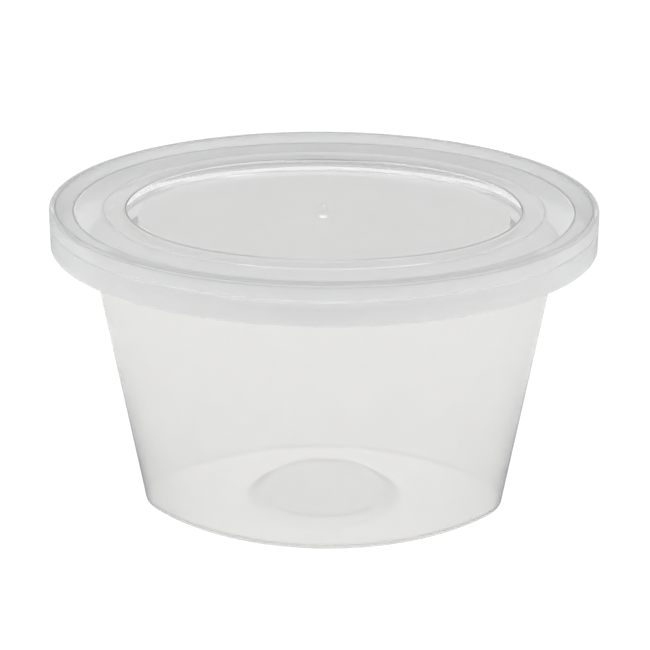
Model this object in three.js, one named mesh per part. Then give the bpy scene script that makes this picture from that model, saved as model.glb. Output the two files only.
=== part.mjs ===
// A small oval portion cup in thin clear polypropylene, with its press-on lid pushed shut.
// Millimetres, +Z up, X along the oval's length. The origin is the middle of the base, where it rests.
// Every outline is drawn by the direction that it faces, so a wall keeps its thickness all round.
import * as THREE from "three";

// ---- driving dimensions ----
const overallHeight = 59.8;
const stepsRound = 88;
const cornerSteps = 3;

const lidHalfLength = 49;
const lidHalfWidth = 38.5;
const lidThickness = 0.7;
const skirtThickness = 0.75;
const skirtHeight = 7.4;
const rimWidth = 1.5;
const rimRound = 1.0;
const ringInset = 4.4;
const ringDepth = 1.15;
const recessInset = 13.6;
const recessDepth = 1.4;
const recessDraft = 0.3;
const ribInset = 9.6;
const ribThickness = 0.6;
const ribDepth = 5.9;
const grooveDrop = 2.8;
const grooveDepth = 0.22;
const grooveHalfHeight = 0.27;
const snapBeadDrop = 6.1;
const snapBeadReach = 0.3;
const gateRadius = 0.66;
const gateFootRadius = 1.15;
const gateHeight = 2.3;

const gap = 0.3;
const cupWall = 0.55;
const floorThickness = 0.6;
const flangeThickness = 0.65;
const lipThickness = 0.65;
const lipHeight = 2.4;
const mouthInset = 6.2;
const baseHalfLength = 33.4;
const baseHalfWidth = 20.0;
const baseTipRadius = 9.2;
const baseCorner = 1.0;
const floorCorner = 0.9;
const bossRadius = 11.6;
const bossFootRadius = 14.4;
const bossHeight = 2.15;

// ---- outlines in plan: each is stepsRound points, one for each direction that the outline faces ----
const facings = Array.from({ length: stepsRound }, (_, i) => {
  const turn = (i / stepsRound) * 2 * Math.PI;
  return new THREE.Vector2(Math.cos(turn), Math.sin(turn));
});

// The lid is an ellipse, and each line on it runs inside that ellipse at the same distance all round.
function lidOutline(inset) {
  return facings.map((facing) => {
    const reach = Math.hypot(lidHalfLength * facing.x, lidHalfWidth * facing.y);
    const x = (lidHalfLength ** 2 * facing.x) / reach;
    const y = (lidHalfWidth ** 2 * facing.y) / reach;
    return new THREE.Vector2(x, y).addScaledVector(facing, -inset);
  });
}

// The base is an oval of four arcs: a long flat one on each side and a tight one round each tip.
function baseOutline(inset) {
  const tipCentre = baseHalfLength - baseTipRadius;
  const spareWidth = baseHalfWidth - baseTipRadius;
  const sideRadius = baseTipRadius + (tipCentre ** 2 + spareWidth ** 2) / (2 * spareWidth);
  const sideCentre = sideRadius - baseHalfWidth;
  const sideBegins = sideCentre / Math.hypot(tipCentre, sideCentre);
  return facings.map((facing) => {
    const onSide = Math.abs(facing.y) > sideBegins;
    const radius = onSide ? sideRadius : baseTipRadius;
    const centre = onSide
      ? new THREE.Vector2(0, -Math.sign(facing.y) * sideCentre)
      : new THREE.Vector2(Math.sign(facing.x) * tipCentre, 0);
    return centre.addScaledVector(facing, radius - inset);
  });
}

function circle(radius) {
  return facings.map((facing) => facing.clone().multiplyScalar(radius));
}

function between(first, second, share) {
  return first.map((point, i) => point.clone().lerp(second[i], share));
}

// ---- a section drawn as corners, each with its own rounding radius ----
function corner(inset, height, radius = 0) {
  return { at: new THREE.Vector2(inset, height), radius };
}

function roundOff(before, here, after) {
  if (here.radius === 0) return [here.at];
  const toBefore = before.at.clone().sub(here.at);
  const toAfter = after.at.clone().sub(here.at);
  const halfAngle = Math.abs(toBefore.angleTo(toAfter)) / 2;
  const longest = 0.48 * Math.min(toBefore.length(), toAfter.length());
  const setback = Math.min(here.radius / Math.tan(halfAngle), longest);
  const start = here.at.clone().addScaledVector(toBefore.normalize(), setback);
  const end = here.at.clone().addScaledVector(toAfter.normalize(), setback);
  const curve = new THREE.QuadraticBezierCurve(start, here.at, end);
  return curve.getPoints(cornerSteps - 1);
}

function sectionPoints(corners) {
  const last = corners.length - 1;
  return corners.flatMap((here, i) =>
    i === 0 || i === last ? [here.at] : roundOff(corners[i - 1], here, corners[i + 1]),
  );
}

// ---- a closed skin over a stack of rings, from the middle of one face to the middle of the other ----
function ring(outline, height) {
  return { outline, height };
}

function skinOver(rings) {
  const positions = [];
  const triangles = [];
  rings.forEach(({ outline, height }) => {
    outline.forEach((point) => positions.push(point.x, point.y, height));
  });
  for (let row = 0; row < rings.length - 1; row += 1) {
    for (let i = 0; i < stepsRound; i += 1) {
      const next = (i + 1) % stepsRound;
      const here = row * stepsRound + i;
      const beside = row * stepsRound + next;
      triangles.push(here, here + stepsRound, beside + stepsRound);
      triangles.push(here, beside + stepsRound, beside);
    }
  }
  const firstMiddle = positions.length / 3;
  const lastMiddle = firstMiddle + 1;
  const lastRow = (rings.length - 1) * stepsRound;
  positions.push(0, 0, rings[0].height, 0, 0, rings.at(-1).height);
  for (let i = 0; i < stepsRound; i += 1) {
    const next = (i + 1) % stepsRound;
    triangles.push(firstMiddle, i, next);
    triangles.push(lastMiddle, lastRow + next, lastRow + i);
  }
  const geometry = new THREE.BufferGeometry();
  geometry.setAttribute("position", new THREE.Float32BufferAttribute(positions, 3));
  geometry.setIndex(triangles);
  geometry.computeVertexNormals();
  return geometry;
}

// ---- lid ----
// Its section runs from the middle of the top face outwards, down the skirt and back underneath.
const ringHeight = overallHeight - ringDepth;
const panelHeight = ringHeight - recessDepth;
const panelUnderside = panelHeight - lidThickness;
const skirtBottom = overallHeight - skirtHeight;

function lidTopSection() {
  const grooveHeight = overallHeight - grooveDrop;
  return [
    corner(recessInset + recessDraft, panelHeight),
    corner(recessInset, ringHeight),
    corner(ringInset, ringHeight),
    corner(rimWidth, overallHeight),
    corner(0, overallHeight, rimRound),
    corner(0, grooveHeight + grooveHalfHeight),
    corner(grooveDepth, grooveHeight),
    corner(0, grooveHeight - grooveHalfHeight),
    corner(0, skirtBottom),
  ];
}

function lidUndersideSection() {
  const ringUnderside = ringHeight - lidThickness;
  const channelTop = overallHeight - lidThickness;
  const beadHeight = overallHeight - snapBeadDrop;
  const ribBottom = overallHeight - ribDepth;
  const halfRib = ribThickness / 2;
  const ribTaper = 0.1;
  return [
    corner(skirtThickness, skirtBottom),
    corner(skirtThickness + snapBeadReach, beadHeight),
    corner(skirtThickness, beadHeight + 0.8),
    corner(skirtThickness, channelTop, 0.4),
    corner(rimWidth + 0.3, channelTop),
    corner(ringInset + 0.3, ringUnderside),
    corner(ribInset - halfRib, ringUnderside),
    corner(ribInset - halfRib + ribTaper, ribBottom),
    corner(ribInset + halfRib - ribTaper, ribBottom),
    corner(ribInset + halfRib, ringUnderside),
    corner(recessInset - lidThickness, ringUnderside),
    corner(recessInset + recessDraft - lidThickness, panelUnderside),
  ];
}

// The moulding gate leaves a short peg on a flared foot in the middle of the panel.
function gateRings() {
  const shaftBottom = panelHeight + 0.5;
  return [
    ring(circle(0.6 * gateRadius), panelHeight + gateHeight),
    ring(circle(gateRadius), panelHeight + gateHeight - 0.3),
    ring(circle(gateRadius), shaftBottom),
    ring(circle(gateFootRadius), panelHeight),
  ];
}

function lidGeometry() {
  const corners = [...lidTopSection(), ...lidUndersideSection()];
  const body = sectionPoints(corners).map((point) => ring(lidOutline(point.x), point.y));
  return skinOver([...gateRings(), ...body]);
}

// ---- cup ----
// Its wall is straight from the mouth to the base, and both its faces follow the same taper.
const flangeTop = ringHeight - lidThickness - gap;
const flangeUnderside = flangeTop - flangeThickness;

function wallRing(inset, height) {
  const share = (flangeUnderside - height) / flangeUnderside;
  return ring(between(lidOutline(mouthInset + inset), baseOutline(inset), share), height);
}

// A quarter round from an upright wall into a level floor, going down or up it.
function quarterRound(inset, level, radius) {
  return Array.from({ length: cornerSteps + 1 }, (_, i) => {
    const angle = (i / cornerSteps) * (Math.PI / 2);
    return wallRing(inset + radius * (1 - Math.sin(angle)), level + radius * (1 - Math.cos(angle)));
  });
}

// The base is pushed up in the middle, into a round boss with a flat top.
function bossRings(level) {
  return [
    ring(circle(bossRadius), level + bossHeight),
    ring(circle(bossFootRadius), level),
  ];
}

function flangeSection() {
  const outside = skirtThickness + gap + 0.05;
  const lipBottom = flangeTop - lipHeight;
  return [
    corner(mouthInset, flangeUnderside),
    corner(outside + lipThickness, flangeUnderside),
    corner(outside + lipThickness, lipBottom),
    corner(outside, lipBottom),
    corner(outside, flangeTop, 0.5),
    corner(mouthInset + cupWall, flangeTop, 0.4),
    corner(mouthInset + cupWall, flangeUnderside),
  ];
}

function cupGeometry() {
  const flange = sectionPoints(flangeSection()).map((point) => ring(lidOutline(point.x), point.y));
  const outside = [...bossRings(0), ...quarterRound(0, 0, baseCorner)];
  const inside = [
    ...quarterRound(cupWall, floorThickness, floorCorner).reverse(),
    ...bossRings(floorThickness).reverse(),
  ];
  return skinOver([...outside, ...flange, ...inside].reverse());
}

// ---- the two pieces ----
function clearPlastic(color, opacity) {
  return new THREE.MeshStandardMaterial({ color, roughness: 0.15, metalness: 0, transparent: true, opacity });
}

function piece(name, geometry, material) {
  const mesh = new THREE.Mesh(geometry, material);
  mesh.name = name;
  return mesh;
}

const portionCup = new THREE.Group();
portionCup.add(piece("cup", cupGeometry(), clearPlastic(0xe4e6e3, 0.35)));
portionCup.add(piece("lid", lidGeometry(), clearPlastic(0xdfe1df, 0.4)));

export default portionCup;
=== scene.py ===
# A small oval portion cup in clear, slightly milky polypropylene, with its press-on lid pushed shut.
# Its sizes are in millimetres where no name or comment says metres. X runs along the oval and Z is up.
import math

import bmesh
import bpy
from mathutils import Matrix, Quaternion, Vector


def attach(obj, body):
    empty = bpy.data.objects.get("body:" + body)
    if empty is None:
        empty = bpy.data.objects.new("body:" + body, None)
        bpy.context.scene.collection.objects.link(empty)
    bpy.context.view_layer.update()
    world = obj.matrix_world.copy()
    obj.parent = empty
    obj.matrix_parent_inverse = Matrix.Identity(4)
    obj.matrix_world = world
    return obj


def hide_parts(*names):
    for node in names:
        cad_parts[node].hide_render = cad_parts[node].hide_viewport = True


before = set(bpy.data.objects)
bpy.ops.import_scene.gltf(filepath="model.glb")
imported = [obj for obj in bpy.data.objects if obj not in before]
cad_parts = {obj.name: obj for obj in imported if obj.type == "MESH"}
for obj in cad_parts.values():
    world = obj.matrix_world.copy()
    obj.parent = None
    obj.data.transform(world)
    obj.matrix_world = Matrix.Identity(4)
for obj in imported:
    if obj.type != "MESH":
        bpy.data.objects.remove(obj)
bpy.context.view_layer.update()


# ---- camera ----
# A long lens, 415 mm from the middle of the lid and 21 degrees above its level, as in the photograph. It
# stands 2 degrees to the right of the cup's front, so the right tip is a little nearer than the left one.
MM = 0.001
CAMERA_AT = Vector((14.03, -387.40, 208.05)) * MM
CAMERA_LOOKS_AT = Vector((0.25, 0.01, 35.82)) * MM
CAMERA_ROLL = 0.0015
LENS = 128.61
SENSOR = 36.0
NEAREST_METRES = 0.01
FARTHEST_METRES = 50.0

lens = bpy.data.cameras.new("camera")
lens.lens = LENS
lens.sensor_width = SENSOR
lens.clip_start = NEAREST_METRES
lens.clip_end = FARTHEST_METRES
camera = bpy.data.objects.new("camera", lens)
bpy.context.scene.collection.objects.link(camera)
camera.location = CAMERA_AT
camera.rotation_mode = "QUATERNION"
aim = (CAMERA_LOOKS_AT - CAMERA_AT).to_track_quat("-Z", "Y")
camera.rotation_quaternion = aim @ Quaternion((0, 0, 1), CAMERA_ROLL)
bpy.context.scene.camera = camera


# ---- cup ----
# The cup is moulded in one shot of thin polypropylene: a straight wall that tapers from a wide oval mouth
# to a pointed oval base, a base pushed up in a round boss, and a flange with a turned-down lip on top.
# Its mould leaves it glossy, and the plastic itself is faintly milky.
RIM_TOP = 59.8
LID_HALF_LENGTH = 49.0
LID_HALF_WIDTH = 38.5
SKIRT_HEIGHT = 7.4
SKIRT_BOTTOM = RIM_TOP - SKIRT_HEIGHT
FLANGE_TOP = 57.65
FLANGE_THICKNESS = 0.65
FLANGE_UNDERSIDE = FLANGE_TOP - FLANGE_THICKNESS
FLANGE_INSET = 1.1
LIP_THICKNESS = 0.65
LIP_HEIGHT = 2.4
LIP_BOTTOM = FLANGE_TOP - LIP_HEIGHT
MOUTH_INSET = 6.2
CUP_WALL = 0.55
FLOOR_THICKNESS = 0.6
BASE_HALF_LENGTH = 33.4
BASE_HALF_WIDTH = 20.0
BASE_TIP_RADIUS = 9.2
BASE_CORNER = 1.0
FLOOR_CORNER = 0.9
BOSS_RADIUS = 11.6
BOSS_FOOT_RADIUS = 14.4
BOSS_HEIGHT = 2.15
GATE_RADIUS = 0.5
GATE_DROP = 0.35
GATE_FLARE = 0.15

STEPS_ROUND = 256
ROUNDING_STEPS = 6
LONGEST_ROUND = 0.45
GUARD_SHARE = 0.12

# Besides its corners a section has lines a little beside them, and some up the wall, at these heights.
BESIDE_CORNER = 1.0
BESIDE_BASE_CORNER = 1.5
WALL_LINES = (14.0, 28.0, 42.0)


def row(distance, height, rounding=0.0, taper=0.0, circle=0.0):
    """One line round the piece, and how far its corner is rounded.

    distance runs in from the oval, or out from the middle where circle is 1. taper goes from 0, where the
    oval is the upper outline, to 1, where it is the base's."""
    return Vector((distance, height, taper, circle)), rounding


def wall_row(inset, height, rounding=0.0):
    """A line on the tapered wall, so far inside its outer face."""
    taper = (FLANGE_UNDERSIDE - height) / FLANGE_UNDERSIDE
    return row(inset + (1 - taper) * MOUTH_INSET, height, rounding, taper)


def circle_row(radius, height, rounding=0.0):
    """A line on a circle round the middle."""
    return row(radius, height, rounding, taper=0.0, circle=1.0)


def rounded(rows):
    """Rounds each corner of a section, and sets a line close beside each round to keep the faces flat."""
    lines = [rows[0][0]]
    for (before, _), (here, rounding), (after, _) in zip(rows, rows[1:], rows[2:]):
        if not rounding:
            lines.append(here)
            continue
        back, ahead = before - here, after - here
        back_length, ahead_length = back.xy.length, ahead.xy.length
        half_angle = back.xy.angle(ahead.xy) / 2
        longest = LONGEST_ROUND * min(back_length, ahead_length)
        setback = min(rounding / math.tan(half_angle), longest)
        start = here + back * (setback / back_length)
        end = here + ahead * (setback / ahead_length)
        guard = GUARD_SHARE * setback
        lines.append(start + back * (guard / back_length))
        for step in range(ROUNDING_STEPS + 1):
            share = step / ROUNDING_STEPS
            left = 1 - share
            lines.append(start * left**2 + here * (2 * share * left) + end * share * share)
        lines.append(end + ahead * (guard / ahead_length))
    lines.append(rows[-1][0])
    return lines


def add(tree, kind, *inputs, **settings):
    """One node, with its settings, and its inputs in their order as values or as other nodes' outputs."""
    made = tree.nodes.new(kind)
    for name, value in settings.items():
        setattr(made, name, value)
    for socket, value in zip(made.inputs, inputs):
        if isinstance(value, bpy.types.NodeSocket):
            tree.links.new(value, socket)
        elif value is not None:
            socket.default_value = value
    return made


def reckon(tree, operation, *inputs):
    """One step of arithmetic. Each tree and each mask below calls it do."""
    return add(tree, "ShaderNodeMath", *inputs, operation=operation).outputs[0]


OVAL_SIZES = {
    "Half length": LID_HALF_LENGTH,
    "Half width": LID_HALF_WIDTH,
    "Base half length": BASE_HALF_LENGTH,
    "Base half width": BASE_HALF_WIDTH,
    "Base tip radius": BASE_TIP_RADIUS,
}
SAME_POINT_METRES = 1e-6


def oval_shell_tree():
    """Carries a section's lines round the oval. Its sizes are in metres.

    The upper outline is an ellipse and the base's is four arcs, and each point of both is found from the
    way that it faces, so that a line set in by some distance stays that far from the outline all round."""
    tree = bpy.data.node_groups.new("oval_shell", "GeometryNodeTree")
    sockets = tree.interface
    sockets.new_socket("Section", in_out="INPUT", socket_type="NodeSocketGeometry")
    sockets.new_socket("Steps round", in_out="INPUT", socket_type="NodeSocketInt")
    for name in OVAL_SIZES:
        sockets.new_socket(name, in_out="INPUT", socket_type="NodeSocketFloat")
    sockets.new_socket("Plastic", in_out="INPUT", socket_type="NodeSocketMaterial")
    sockets.new_socket("Shell", in_out="OUTPUT", socket_type="NodeSocketGeometry")
    given = add(tree, "NodeGroupInput").outputs
    section, steps = given["Section"], given["Steps round"]
    long, wide, base_long, base_wide, tip = [given[name] for name in OVAL_SIZES]

    def do(operation, *inputs):
        return reckon(tree, operation, *inputs)

    lines = add(tree, "GeometryNodeAttributeDomainSize", section).outputs["Point Count"]
    columns = do("ADD", steps, 1.0)
    grid = add(tree, "GeometryNodeMeshGrid", 1.0, 1.0, columns, lines).outputs["Mesh"]
    index = add(tree, "GeometryNodeInputIndex").outputs[0]
    column = do("FLOOR", do("DIVIDE", index, lines))
    line = do("SUBTRACT", index, do("MULTIPLY", column, lines))
    turn = do("MULTIPLY", do("DIVIDE", column, steps), math.tau)
    face_x, face_y = do("COSINE", turn), do("SINE", turn)

    def on_section(value, kind):
        sampled = tree.nodes.new("GeometryNodeSampleIndex")
        sampled.data_type = kind
        tree.links.new(section, sampled.inputs["Geometry"])
        tree.links.new(value, sampled.inputs["Value"])
        tree.links.new(line, sampled.inputs["Index"])
        return sampled.outputs["Value"]

    def of_line(name):
        named = add(tree, "GeometryNodeInputNamedAttribute", name, data_type="FLOAT")
        return on_section(named.outputs["Attribute"], "FLOAT")

    place = on_section(add(tree, "GeometryNodeInputPosition").outputs[0], "FLOAT_VECTOR")
    distance, _, height = add(tree, "ShaderNodeSeparateXYZ", place).outputs
    taper, circle = of_line("taper"), of_line("circle")

    across_x, across_y = do("MULTIPLY", long, face_x), do("MULTIPLY", wide, face_y)
    squared_x, squared_y = do("MULTIPLY", across_x, across_x), do("MULTIPLY", across_y, across_y)
    reach = do("SQRT", do("ADD", squared_x, squared_y))
    upper_x = do("DIVIDE", do("MULTIPLY", across_x, long), reach)
    upper_y = do("DIVIDE", do("MULTIPLY", across_y, wide), reach)

    tip_centre, spare = do("SUBTRACT", base_long, tip), do("SUBTRACT", base_wide, tip)
    squares = do("ADD", do("MULTIPLY", tip_centre, tip_centre), do("MULTIPLY", spare, spare))
    side_radius = do("ADD", tip, do("DIVIDE", squares, do("MULTIPLY", spare, 2.0)))
    side_centre = do("SUBTRACT", side_radius, base_wide)
    side_begins = do("ARCTAN2", side_centre, tip_centre)
    on_side = do("GREATER_THAN", do("ABSOLUTE", face_y), do("SINE", side_begins))
    on_tip = do("SUBTRACT", 1.0, on_side)
    radius = do("ADD", do("MULTIPLY", on_side, side_radius), do("MULTIPLY", on_tip, tip))
    centre_x = do("MULTIPLY", do("MULTIPLY", on_tip, do("SIGN", face_x)), tip_centre)
    side_below = do("MULTIPLY", side_centre, -1.0)
    centre_y = do("MULTIPLY", do("MULTIPLY", on_side, do("SIGN", face_y)), side_below)
    base_x = do("ADD", centre_x, do("MULTIPLY", radius, face_x))
    base_y = do("ADD", centre_y, do("MULTIPLY", radius, face_y))

    def between(first, second, share):
        rest = do("SUBTRACT", 1.0, share)
        return do("ADD", do("MULTIPLY", first, rest), do("MULTIPLY", second, share))

    def placed(upper, base, facing):
        outward = do("MULTIPLY", facing, distance)
        on_oval = do("SUBTRACT", between(upper, base, taper), outward)
        return between(on_oval, outward, circle)

    x, y = placed(upper_x, base_x, face_x), placed(upper_y, base_y, face_y)
    at = add(tree, "ShaderNodeCombineXYZ", x, y, height).outputs[0]
    laid = tree.nodes.new("GeometryNodeSetPosition")
    tree.links.new(grid, laid.inputs["Geometry"])
    tree.links.new(at, laid.inputs["Position"])
    closed = tree.nodes.new("GeometryNodeMergeByDistance")
    tree.links.new(laid.outputs[0], closed.inputs["Geometry"])
    closed.inputs["Distance"].default_value = SAME_POINT_METRES
    smooth = add(tree, "GeometryNodeSetShadeSmooth", closed.outputs[0])
    painted = tree.nodes.new("GeometryNodeSetMaterial")
    tree.links.new(smooth.outputs[0], painted.inputs["Geometry"])
    tree.links.new(given["Plastic"], painted.inputs["Material"])
    real = add(tree, "GeometryNodeRealizeInstances", painted.outputs[0])
    add(tree, "NodeGroupOutput", real.outputs[0])
    return tree


OVAL_SHELL = oval_shell_tree()


def oval_shell(name, rows, plastic):
    """A closed shell. Its section runs from the middle of one face to the middle of the other."""
    lines = rounded(rows)
    drawn = bpy.data.meshes.new(name + "_section")
    points = [(line[0] * MM, 0.0, line[1] * MM) for line in lines]
    drawn.from_pydata(points, [(i, i + 1) for i in range(len(points) - 1)], [])
    for attribute, part in (("taper", 2), ("circle", 3)):
        values = drawn.attributes.new(attribute, "FLOAT", "POINT").data
        for value, line in zip(values, lines):
            value.value = line[part]
    section = bpy.data.objects.new(name + "_section", drawn)
    bpy.context.scene.collection.objects.link(section)
    carried = section.modifiers.new("oval_shell", "NODES")
    carried.node_group = OVAL_SHELL
    wanted = {size: value * MM for size, value in OVAL_SIZES.items()}
    wanted.update({"Steps round": STEPS_ROUND, "Plastic": plastic})
    for socket in OVAL_SHELL.interface.items_tree:
        if socket.name in wanted:
            carried[socket.identifier] = wanted[socket.name]
    made = section.evaluated_get(bpy.context.evaluated_depsgraph_get())
    mesh = bpy.data.meshes.new_from_object(made)
    section.modifiers.remove(carried)
    bpy.data.objects.remove(section)
    faces = bmesh.new()
    faces.from_mesh(mesh)
    bmesh.ops.recalc_face_normals(faces, faces=faces.faces)
    faces.to_mesh(mesh)
    faces.free()
    mesh.name = name
    shell = bpy.data.objects.new(name, mesh)
    bpy.context.scene.collection.objects.link(shell)
    return shell


REFRACTION = 1.49
CLOUD_SCALE = 70.0
CLOUD_DETAIL = 3.0
CLOUD_LEAST = 0.95
CLOUD_RANGE = 0.1
HAZE_RANGE = 0.04
WAVE_SCALE = 45.0
WAVE_DETAIL = 1.0
WAVE_STRENGTH = 0.25
WAVE_HEIGHT = 0.08
WIDE_EDGE = 1.3
WIDE_EDGE_POWER = 3.0
NARROW_EDGE = 0.7
NARROW_EDGE_POWER = 14.0
FILM_COLOUR = (0.98, 0.98, 0.98, 1.0)

# A Mix node has sockets of the same names for numbers, vectors and colours. These belong to the colours.
MIX_SHARE, MIX_FIRST, MIX_SECOND, MIX_RESULT = 0, 6, 7, 2


def polypropylene(name, tint, milk, milk_colour, shade_colour, edge_shade, painted_shade, film, haze):
    """Clear polypropylene with a little milk in it.

    The milk, the edge shade, the painted shade along corners and faces, and the film are drawn from the
    place on the piece, its x, y and z in metres. They say how much of the light the milk stops, how dark a
    shade is painted where the plastic is looked into edge on, how much more shade is painted besides, as
    along its sharp corners, and where it hardly shows."""
    plastic = bpy.data.materials.new(name)
    plastic.use_nodes = True
    tree = plastic.node_tree
    tree.nodes.clear()

    def do(operation, *inputs):
        return reckon(tree, operation, *inputs)

    spot = add(tree, "ShaderNodeTexCoord").outputs["Object"]
    place = add(tree, "ShaderNodeSeparateXYZ", spot).outputs
    cloud = add(tree, "ShaderNodeTexNoise", spot)
    cloud.inputs["Scale"].default_value = CLOUD_SCALE
    cloud.inputs["Detail"].default_value = CLOUD_DETAIL
    uneven = do("MULTIPLY_ADD", cloud.outputs["Fac"], CLOUD_RANGE, CLOUD_LEAST)

    normal = add(tree, "ShaderNodeNewGeometry").outputs["Normal"]
    upward = add(tree, "ShaderNodeSeparateXYZ", normal).outputs["Z"]
    upright = do("SUBTRACT", 1.0, do("MULTIPLY", upward, upward))
    # Painted shade: where the plastic is looked into edge on it is painted darker, in place of the dark
    # edges that refraction gives.
    slant = add(tree, "ShaderNodeLayerWeight", 0.5).outputs["Facing"]
    wide_edge = do("MULTIPLY", do("POWER", slant, WIDE_EDGE_POWER), WIDE_EDGE)
    wide_edge = do("MULTIPLY", wide_edge, edge_shade(do, *place))
    turned = do("MULTIPLY_ADD", do("POWER", slant, NARROW_EDGE_POWER), NARROW_EDGE, wide_edge)
    # All the painted shade, from the edges and from the corners and faces, mixes the milk's colour towards
    # the dark shade colour and adds to the milk's share.
    shade_share = do("MINIMUM", do("MULTIPLY_ADD", turned, upright, painted_shade(do, *place)), 1.0)
    share = do("MINIMUM", do("MULTIPLY_ADD", uneven, milk(do, *place), shade_share), 1.0)
    mixed = add(tree, "ShaderNodeMix", data_type="RGBA")
    tree.links.new(shade_share, mixed.inputs[MIX_SHARE])
    mixed.inputs[MIX_FIRST].default_value = (*milk_colour, 1.0)
    mixed.inputs[MIX_SECOND].default_value = (*shade_colour, 1.0)
    colour = mixed.outputs[MIX_RESULT]

    wave = add(tree, "ShaderNodeTexNoise", spot)
    wave.inputs["Scale"].default_value = WAVE_SCALE
    wave.inputs["Detail"].default_value = WAVE_DETAIL
    bump = tree.nodes.new("ShaderNodeBump")
    bump.inputs["Strength"].default_value = WAVE_STRENGTH
    bump.inputs["Distance"].default_value = WAVE_HEIGHT * MM
    tree.links.new(wave.outputs["Fac"], bump.inputs["Height"])

    clear = tree.nodes.new("ShaderNodeBsdfPrincipled")
    clear.inputs["Base Color"].default_value = (*tint, 1.0)
    clear.inputs["IOR"].default_value = REFRACTION
    clear.inputs["Transmission Weight"].default_value = 1.0
    rough = do("MULTIPLY_ADD", cloud.outputs["Fac"], HAZE_RANGE, haze)
    tree.links.new(rough, clear.inputs["Roughness"])
    tree.links.new(bump.outputs[0], clear.inputs["Normal"])
    through = add(tree, "ShaderNodeBsdfTranslucent", colour)
    back = tree.nodes.new("ShaderNodeBsdfPrincipled")
    back.inputs["IOR"].default_value = REFRACTION
    tree.links.new(colour, back.inputs["Base Color"])
    tree.links.new(rough, back.inputs["Roughness"])
    tree.links.new(bump.outputs[0], back.inputs["Normal"])
    milky = add(tree, "ShaderNodeMixShader", 0.5, through.outputs[0], back.outputs[0])
    shown = add(tree, "ShaderNodeMixShader", share, clear.outputs[0], milky.outputs[0])

    # Light that is mirrored to and fro inside the plastic ends in its milk, and light that the milk has
    # scattered goes straight on.
    path = tree.nodes.new("ShaderNodeLightPath")
    trapped = do("GREATER_THAN", path.outputs["Glossy Depth"], 0.5)
    guided = add(tree, "ShaderNodeMixShader", trapped, shown.outputs[0], milky.outputs[0])
    scattered = do("GREATER_THAN", path.outputs["Diffuse Depth"], 0.5)
    scattered = do("MAXIMUM", scattered, path.outputs["Is Shadow Ray"])
    unseen = do("MAXIMUM", scattered, film(do, *place))
    passed = add(tree, "ShaderNodeBsdfTransparent", FILM_COLOUR)
    seen = add(tree, "ShaderNodeMixShader", unseen, guided.outputs[0], passed.outputs[0])
    add(tree, "ShaderNodeOutputMaterial", seen.outputs[0])
    return plastic


def from_middle(do, x, y):
    """How far a point lies from the upright line through the middle, in metres."""
    return do("SQRT", do("ADD", do("MULTIPLY", x, x), do("MULTIPLY", y, y)))


def line_at(do, value, middle, half_width):
    """Rises to 1 where a value in metres is at the middle, and falls to 0 on both sides of it."""
    off = do("ABSOLUTE", do("SUBTRACT", value, middle * MM))
    return do("MAXIMUM", do("SUBTRACT", 1.0, do("DIVIDE", off, half_width * MM)), 0.0)


def shade_lines(do, value, *lines):
    """Several lines of painted shade together, each given by its middle, half its width and how dark it is
    painted.
    """
    total = 0.0
    for middle, half_width, shade_share in lines:
        total = do("MULTIPLY_ADD", line_at(do, value, middle, half_width), shade_share, total)
    return total


WALL_MILK = 0.28
LOW_WALL_MILK = 0.05
FLOOR_MILK = 0.10
BOSS_MILK = 0.02
FLOOR_BELOW = 0.8
BOSS_BELOW = 4.0


def cup_milk(do, x, y, z):
    """The wall clears a little towards the mouth, the floor is clearest and the boss's top cloudiest."""
    fall = do("SUBTRACT", 1.0, do("DIVIDE", z, FLANGE_UNDERSIDE * MM))
    wall = do("MULTIPLY_ADD", fall, LOW_WALL_MILK, WALL_MILK)
    on_floor = do("LESS_THAN", z, FLOOR_BELOW * MM)
    base = do("MULTIPLY", on_floor, FLOOR_MILK - WALL_MILK - LOW_WALL_MILK)
    in_boss = do("LESS_THAN", from_middle(do, x, y), BOSS_RADIUS * MM)
    on_boss = do("MULTIPLY", do("LESS_THAN", z, BOSS_BELOW * MM), in_boss)
    boss = do("MULTIPLY", on_boss, BOSS_MILK)
    return do("ADD", do("ADD", wall, base), boss)


# How strong the shade painted on the cup's sides is low down and high up, and over what height it fades.
LOW_EDGE = 1.3
EDGE_FADE = 30.0
HIGH_EDGE = 0.15


def cup_edge_shade(do, x, y, z):
    """The shade painted at the sides is darkest low down, where the wall bends tightest."""
    fading = do("SUBTRACT", LOW_EDGE, do("DIVIDE", z, EDGE_FADE * MM))
    return do("MAXIMUM", do("MINIMUM", fading, 1.0), HIGH_EDGE)


# Painted shade on the boss and along the base's corners: how dark the boss's top is painted, and the
# middle, half width and darkness of each painted line.
BOSS_GREY = 0.07
BOSS_LINE = (BOSS_RADIUS, 0.4, 0.08)
FLANK_LINE = (BOSS_RADIUS + 1.2, 1.7, 0.11)
GATE_MARK_RADIUS = 2.0
BASE_LINES = ((0.3, 0.25, 0.05), (1.2, 0.45, 0.17))


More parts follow.
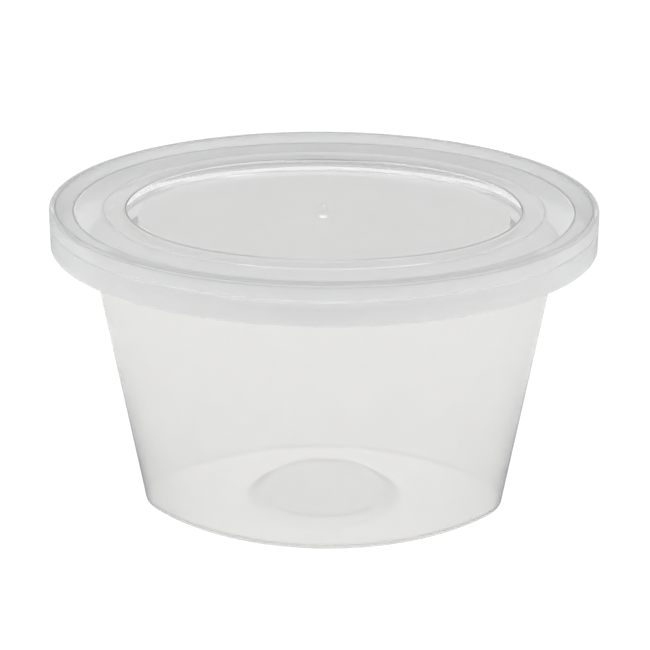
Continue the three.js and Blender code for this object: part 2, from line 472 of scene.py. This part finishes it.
def cup_painted_shade(do, x, y, z):
    """Thin lines of painted shade follow the corners of base and boss.

    Shade is painted on the boss's top round its gate mark, which is left paler, and on the two ends of the
    flank round it."""
    out = from_middle(do, x, y)
    in_boss = do("LESS_THAN", out, BOSS_RADIUS * MM)
    top = do("SUBTRACT", in_boss, line_at(do, out, 0.0, GATE_MARK_RADIUS))
    at_ends = do("DIVIDE", do("MULTIPLY", x, x), do("MULTIPLY", out, out))
    flank = do("MULTIPLY", shade_lines(do, out, FLANK_LINE), at_ends)
    corner_and_flank = do("ADD", shade_lines(do, out, BOSS_LINE), flank)
    greyer = do("MULTIPLY_ADD", top, BOSS_GREY, corner_and_flank)
    boss = do("MULTIPLY", greyer, do("LESS_THAN", z, BOSS_BELOW * MM))
    past_boss = do("GREATER_THAN", out, (BOSS_FOOT_RADIUS + BESIDE_CORNER) * MM)
    return do("MULTIPLY_ADD", shade_lines(do, z, *BASE_LINES), past_boss, boss)


FLANGE_FILM = 0.95
FLANGE_FILM_FROM = FLANGE_UNDERSIDE - 0.3
LIP_FILM = 0.90
LIP_FILM_FROM = SKIRT_BOTTOM + 0.6


def cup_film(do, x, y, z):
    """The flange and its lip lie close under the lid and hardly show through it."""
    flange = do("MULTIPLY", do("GREATER_THAN", z, FLANGE_FILM_FROM * MM), FLANGE_FILM)
    under_lid = do("MULTIPLY", do("GREATER_THAN", z, LIP_FILM_FROM * MM), LIP_FILM)
    return do("MAXIMUM", flange, under_lid)


# The cup's plastic: its painted shade mixes towards a dark blue grey.
cup_plastic = polypropylene(
    name="cup_polypropylene",
    tint=(0.94, 0.938, 0.932),
    milk=cup_milk,
    milk_colour=(0.86, 0.856, 0.84),
    shade_colour=(0.16, 0.18, 0.21),
    edge_shade=cup_edge_shade,
    painted_shade=cup_painted_shade,
    film=cup_film,
    haze=0.02,
)

OUTSIDE_OF_CUP = [
    circle_row(0.0, BOSS_HEIGHT - GATE_DROP),
    circle_row(GATE_RADIUS, BOSS_HEIGHT - GATE_DROP, rounding=0.15),
    circle_row(GATE_RADIUS + GATE_FLARE, BOSS_HEIGHT, rounding=0.1),
    circle_row(BOSS_RADIUS, BOSS_HEIGHT, rounding=0.5),
    circle_row(BOSS_FOOT_RADIUS, 0.0, rounding=0.5),
    circle_row(BOSS_FOOT_RADIUS + BESIDE_CORNER, 0.0),
    wall_row(BASE_CORNER + BESIDE_BASE_CORNER, 0.0),
    wall_row(0.0, 0.0, rounding=BASE_CORNER),
    *[wall_row(0.0, height) for height in WALL_LINES],
]
FLANGE = [
    row(MOUTH_INSET, FLANGE_UNDERSIDE, rounding=0.5),
    row(FLANGE_INSET + LIP_THICKNESS, FLANGE_UNDERSIDE, rounding=0.2),
    row(FLANGE_INSET + LIP_THICKNESS, LIP_BOTTOM, rounding=0.15),
    row(FLANGE_INSET, LIP_BOTTOM, rounding=0.2),
    row(FLANGE_INSET, FLANGE_TOP, rounding=0.5),
    row(MOUTH_INSET + CUP_WALL, FLANGE_TOP, rounding=0.4),
]
INSIDE_OF_CUP = [
    *[wall_row(CUP_WALL, height) for height in reversed(WALL_LINES)],
    wall_row(CUP_WALL, FLOOR_THICKNESS, rounding=FLOOR_CORNER),
    wall_row(CUP_WALL + FLOOR_CORNER + BESIDE_CORNER, FLOOR_THICKNESS),
    circle_row(BOSS_FOOT_RADIUS + BESIDE_CORNER, FLOOR_THICKNESS),
    circle_row(BOSS_FOOT_RADIUS, FLOOR_THICKNESS, rounding=0.5),
    circle_row(BOSS_RADIUS, FLOOR_THICKNESS + BOSS_HEIGHT, rounding=0.5),
    circle_row(BOSS_RADIUS / 2, FLOOR_THICKNESS + BOSS_HEIGHT),
    circle_row(0.0, FLOOR_THICKNESS + BOSS_HEIGHT),
]
cup = oval_shell("cup_shell", OUTSIDE_OF_CUP + FLANGE + INSIDE_OF_CUP, cup_plastic)
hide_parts("cup")
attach(cup, "root")


# ---- lid ----
# The lid is moulded from the same polypropylene: a plain skirt that grips the cup's lip, a rounded rim,
# a flat ring and a sunk oval panel, with the peg that the moulding gate leaves in the panel's middle.
# A thin rib hangs under the ring, just inside the cup's mouth.
LID_THICKNESS = 0.7
SKIRT_THICKNESS = 0.75
RIM_WIDTH = 1.05
RIM_ROUND = 0.9
RING_INSET = 4.4
RING_HEIGHT = RIM_TOP - 0.95
STEP_INSET = 9.6
STEP_HEIGHT = 0.06
STEP_HALF = 0.1
RECESS_INSET = 13.6
RECESS_DRAFT = 0.3
PANEL_HEIGHT = RIM_TOP - 2.55
PANEL_ROUND_INSET = RECESS_INSET + 2.2
PANEL_ROUND_HEIGHT = 0.65
PANEL_FLAT_INSET = RECESS_INSET + 8.0
PEG_HEIGHT = 2.3
PEG_TIP_RADIUS = 0.5
PEG_TIP_HEIGHT = 0.5
PEG_RADIUS = 0.66
PEG_ROOT_RADIUS = 0.7
PEG_ROOT_HEIGHT = 0.3
PEG_FOOT_RADIUS = 1.15
BESIDE_PEG_RADIUS = 3.0
RIB_INSET = 9.6
RIB_HALF = 0.3
RIB_TAPER = 0.1
RIB_BOTTOM = RIM_TOP - 5.9
GROOVE_HEIGHT = RIM_TOP - 2.8
GROOVE_DEPTH = 0.22
GROOVE_HALF = 0.27
BEAD_HEIGHT = RIM_TOP - 6.1
BEAD_REACH = 0.3
BEAD_SLOPE = 0.8
RING_UNDERSIDE = RING_HEIGHT - LID_THICKNESS
PANEL_UNDERSIDE = PANEL_HEIGHT - LID_THICKNESS
CHANNEL_TOP = RIM_TOP - LID_THICKNESS
CHANNEL_SHIFT = 0.3
SMALLEST_SHARE = 0.01


def inset_from_rim(do, x, y):
    """How far inside the lid's outline a point lies, measured towards the middle, in metres."""
    along, across = do("DIVIDE", x, LID_HALF_LENGTH * MM), do("DIVIDE", y, LID_HALF_WIDTH * MM)
    share = do("MAXIMUM", from_middle(do, along, across), SMALLEST_SHARE)
    rest = do("SUBTRACT", do("DIVIDE", 1.0, share), 1.0)
    return do("MULTIPLY", from_middle(do, x, y), rest)


def within(do, value, low, high):
    """1 where a value in metres lies between two heights or distances, else 0."""
    return do("MULTIPLY", do("GREATER_THAN", value, low * MM), do("LESS_THAN", value, high * MM))


LID_MILK = 0.30
SKIRT_MILK = 0.12
SLOPE_MILK = 0.05
RING_MILK = 0.02


def lid_milk(do, x, y, z):
    """The skirt is cloudiest, then the slope inside the rim, then the ring as far as its step."""
    inset = inset_from_rim(do, x, y)
    skirt = do("MULTIPLY", do("LESS_THAN", inset, RIM_ROUND * MM), SKIRT_MILK)
    slope = do("MULTIPLY", within(do, inset, RIM_ROUND, RING_INSET), SLOPE_MILK)
    ring = do("MULTIPLY", within(do, inset, RING_INSET, STEP_INSET), RING_MILK)
    return do("ADD", do("ADD", skirt, slope), do("ADD", ring, LID_MILK))


# How strong the shade painted on the lid is where it is looked into edge on, and much more on the slope.
SLOPE_MARGIN = 0.1
SLOPE_EDGE = 4.0
LID_EDGE = 0.35


def lid_edge_shade(do, x, y, z):
    """A dark shade is painted on the slope inside the rim where it is looked along."""
    inset = inset_from_rim(do, x, y)
    slope = within(do, inset, RIM_WIDTH + SLOPE_MARGIN, RING_INSET - SLOPE_MARGIN)
    return do("MULTIPLY_ADD", slope, SLOPE_EDGE, LID_EDGE)


# Painted shade on the lid: the middle, half width and darkness of each painted line, and how much shade is
# painted on the slope, on the ring towards the back and on the skirt.
RIM_LINE = (RIM_WIDTH, 0.25, 0.45)
FOOT_LINE = (RING_INSET - 0.1, 0.3, 0.5)
STEP_LINE = (STEP_INSET, 0.2, 0.35)
RECESS_LINE = (RECESS_INSET, 0.22, 0.85)
TOP_FROM = RING_HEIGHT - 0.15
SLOPE_GREY = 0.05
BACK_GREY = 0.12
BACK_FADE = 20.0
SKIRT_GREY = 0.19
SKIRT_BAND = (RIM_TOP - 4.9, 1.8, 0.09)
SKIRT_FACE = 0.3
FRONT_SHARE = 1.25
GROOVE_CLEAR = GROOVE_HALF + 0.1


def lid_painted_shade(do, x, y, z):
    """Thin lines of painted shade follow the rim, the slope's foot, the step and the recess, and a little
    shade is painted on the slope.

    The skirt is painted with shade, most of all midway between the tips and in a band low on it, but not
    in its groove, which so shows as a paler line, a painted highlight. Shade is also painted on the ring
    between step and recess, towards the back."""
    inset = inset_from_rim(do, x, y)
    on_top = do("GREATER_THAN", z, TOP_FROM * MM)
    lines = shade_lines(do, inset, RIM_LINE, FOOT_LINE, STEP_LINE, RECESS_LINE)
    slope = do("MULTIPLY", within(do, inset, RIM_WIDTH, RING_INSET), SLOPE_GREY)
    backward = do("MAXIMUM", do("MINIMUM", do("DIVIDE", y, BACK_FADE * MM), 1.0), 0.0)
    back = do("MULTIPLY", within(do, inset, STEP_INSET, RECESS_INSET), backward)
    back = do("MULTIPLY", back, BACK_GREY)
    low_band = do("ADD", shade_lines(do, z, SKIRT_BAND), SKIRT_GREY)
    sideways = do("DIVIDE", do("ABSOLUTE", x), 2 * LID_HALF_LENGTH * MM)
    past_groove = do("SUBTRACT", 1.0, line_at(do, z, GROOVE_HEIGHT, GROOVE_CLEAR))
    outside = do("MULTIPLY", do("LESS_THAN", inset, SKIRT_FACE * MM), past_groove)
    skirt = do("MULTIPLY", do("MULTIPLY", outside, low_band), do("SUBTRACT", FRONT_SHARE, sideways))
    return do("MULTIPLY_ADD", do("ADD", lines, do("ADD", slope, back)), on_top, skirt)


LID_FILM = 0.9
RIB_FILM = (8.5, 10.5)
RIB_FILM_TOP = RING_UNDERSIDE - 0.3
SIDE_FILM = (12.7, 15.9)
SIDE_FILM_HEIGHTS = (PANEL_HEIGHT + 0.04, RING_HEIGHT - 0.1)
SKIRT_FILM_TOP = SKIRT_BOTTOM + 0.25


def lid_film(do, x, y, z):
    """The rib under the ring, the recess's side and the skirt's lower edge hardly show."""
    inset = inset_from_rim(do, x, y)
    rib = do("MULTIPLY", within(do, inset, *RIB_FILM), do("LESS_THAN", z, RIB_FILM_TOP * MM))
    side = do("MULTIPLY", within(do, inset, *SIDE_FILM), within(do, z, *SIDE_FILM_HEIGHTS))
    lower_edge = do("LESS_THAN", z, SKIRT_FILM_TOP * MM)
    return do("MULTIPLY", do("MAXIMUM", do("MAXIMUM", rib, side), lower_edge), LID_FILM)


# The lid's plastic: its painted shade mixes towards a dark grey.
lid_plastic = polypropylene(
    name="lid_polypropylene",
    tint=(0.95, 0.95, 0.95),
    milk=lid_milk,
    milk_colour=(0.95, 0.952, 0.955),
    shade_colour=(0.27, 0.28, 0.29),
    edge_shade=lid_edge_shade,
    painted_shade=lid_painted_shade,
    film=lid_film,
    haze=0.04,
)

PEG = [
    circle_row(0.0, PANEL_HEIGHT + PEG_HEIGHT),
    circle_row(PEG_TIP_RADIUS, PANEL_HEIGHT + PEG_HEIGHT, rounding=0.25),
    circle_row(PEG_RADIUS, PANEL_HEIGHT + PEG_HEIGHT - PEG_TIP_HEIGHT),
    circle_row(PEG_ROOT_RADIUS, PANEL_HEIGHT + PEG_ROOT_HEIGHT, rounding=0.4),
    circle_row(PEG_FOOT_RADIUS, PANEL_HEIGHT, rounding=0.1),
    circle_row(BESIDE_PEG_RADIUS, PANEL_HEIGHT),
]
TOP_OF_LID = [
    row(PANEL_FLAT_INSET, PANEL_HEIGHT),
    row(PANEL_ROUND_INSET, PANEL_HEIGHT, rounding=0.8),
    row(RECESS_INSET + RECESS_DRAFT, PANEL_HEIGHT + PANEL_ROUND_HEIGHT, rounding=0.5),
    row(RECESS_INSET, RING_HEIGHT + STEP_HEIGHT, rounding=0.15),
    row(STEP_INSET + STEP_HALF, RING_HEIGHT + STEP_HEIGHT, rounding=0.1),
    row(STEP_INSET - STEP_HALF, RING_HEIGHT, rounding=0.1),
    row(RING_INSET, RING_HEIGHT, rounding=0.2),
    row(RIM_WIDTH, RIM_TOP, rounding=0.3),
    row(0.0, RIM_TOP, rounding=RIM_ROUND),
    row(0.0, GROOVE_HEIGHT + GROOVE_HALF, rounding=0.08),
    row(GROOVE_DEPTH, GROOVE_HEIGHT, rounding=0.1),
    row(0.0, GROOVE_HEIGHT - GROOVE_HALF, rounding=0.08),
    row(0.0, SKIRT_BOTTOM, rounding=0.2),
]
UNDERSIDE_OF_LID = [
    row(SKIRT_THICKNESS, SKIRT_BOTTOM, rounding=0.2),
    row(SKIRT_THICKNESS + BEAD_REACH, BEAD_HEIGHT, rounding=0.3),
    row(SKIRT_THICKNESS, BEAD_HEIGHT + BEAD_SLOPE, rounding=0.3),
    row(SKIRT_THICKNESS, CHANNEL_TOP, rounding=0.4),
    row(RIM_WIDTH + CHANNEL_SHIFT, CHANNEL_TOP, rounding=0.3),
    row(RING_INSET + CHANNEL_SHIFT, RING_UNDERSIDE, rounding=0.3),
    row(RIB_INSET - RIB_HALF, RING_UNDERSIDE, rounding=0.3),
    row(RIB_INSET - RIB_HALF + RIB_TAPER, RIB_BOTTOM, rounding=0.15),
    row(RIB_INSET + RIB_HALF - RIB_TAPER, RIB_BOTTOM, rounding=0.15),
    row(RIB_INSET + RIB_HALF, RING_UNDERSIDE, rounding=0.3),
    row(RECESS_INSET - LID_THICKNESS, RING_UNDERSIDE, rounding=0.3),
    row(RECESS_INSET + RECESS_DRAFT - LID_THICKNESS, PANEL_UNDERSIDE, rounding=0.3),
    row(PANEL_FLAT_INSET, PANEL_UNDERSIDE),
    circle_row(BESIDE_PEG_RADIUS, PANEL_UNDERSIDE),
    circle_row(0.0, PANEL_UNDERSIDE),
]
lid = oval_shell("lid_shell", PEG + TOP_OF_LID + UNDERSIDE_OF_LID, lid_plastic)
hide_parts("lid")
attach(lid, "root")


# ---- studio ----
# A plain white light table under the cup, a wide soft light straight above it, and a dim room round it,
# which is what the level faces mirror. Each shade of the room says how high up it is seen, from level at
# 0 to straight above at 1, and how bright it is.
TABLE_RADIUS_METRES = 1.2
TABLE_DROP = 0.1
TABLE_SIDES = 96
TABLE_GLOW = 1.05
ROOM_SHADES = ((0.0, 1.05), (0.12, 0.55), (0.25, 0.34), (0.6, 0.34), (0.75, 1.0), (1.0, 1.0))
LIGHT_WIDTH_METRES = 1.4
LIGHT_HEIGHT_METRES = 1.0
LIGHT_WATTS = 24.0

turns = [i / TABLE_SIDES * math.tau for i in range(TABLE_SIDES)]
round_edge = [(math.cos(turn), math.sin(turn)) for turn in turns]
table = bpy.data.meshes.new("table")
table.from_pydata(
    [(TABLE_RADIUS_METRES * x, TABLE_RADIUS_METRES * y, -TABLE_DROP * MM) for x, y in round_edge],
    [],
    [range(TABLE_SIDES)],
)
white = bpy.data.materials.new("white_table")
white.use_nodes = True
white.node_tree.nodes.clear()
glow = add(white.node_tree, "ShaderNodeEmission", (1.0, 1.0, 1.0, 1.0), TABLE_GLOW)
add(white.node_tree, "ShaderNodeOutputMaterial", glow.outputs[0])
table.materials.append(white)
floor = bpy.data.objects.new("table", table)
bpy.context.scene.collection.objects.link(floor)

room = bpy.data.worlds.new("room")
bpy.context.scene.world = room
room.use_nodes = True
room.node_tree.nodes.clear()
way = add(room.node_tree, "ShaderNodeTexCoord").outputs["Generated"]
rise = add(room.node_tree, "ShaderNodeSeparateXYZ", way).outputs["Z"]
shade = add(room.node_tree, "ShaderNodeValToRGB", rise)
stops = shade.color_ramp.elements
while len(stops) < len(ROOM_SHADES):
    stops.new(0.5)
for stop, (position, value) in zip(stops, ROOM_SHADES):
    stop.position = position
    stop.color = (value, value, value, 1.0)
light = add(room.node_tree, "ShaderNodeBackground", shade.outputs[0])
add(room.node_tree, "ShaderNodeOutputWorld", light.outputs[0])

lamp = bpy.data.lights.new("overhead", "AREA")
lamp.shape = "DISK"
lamp.size = LIGHT_WIDTH_METRES
lamp.energy = LIGHT_WATTS
overhead = bpy.data.objects.new("overhead", lamp)
overhead.location = (0.0, 0.0, LIGHT_HEIGHT_METRES)
overhead.visible_diffuse = False
overhead.visible_transmission = False
overhead.visible_camera = False
bpy.context.scene.collection.objects.link(overhead)

bpy.context.scene.view_settings.view_transform = "Standard"
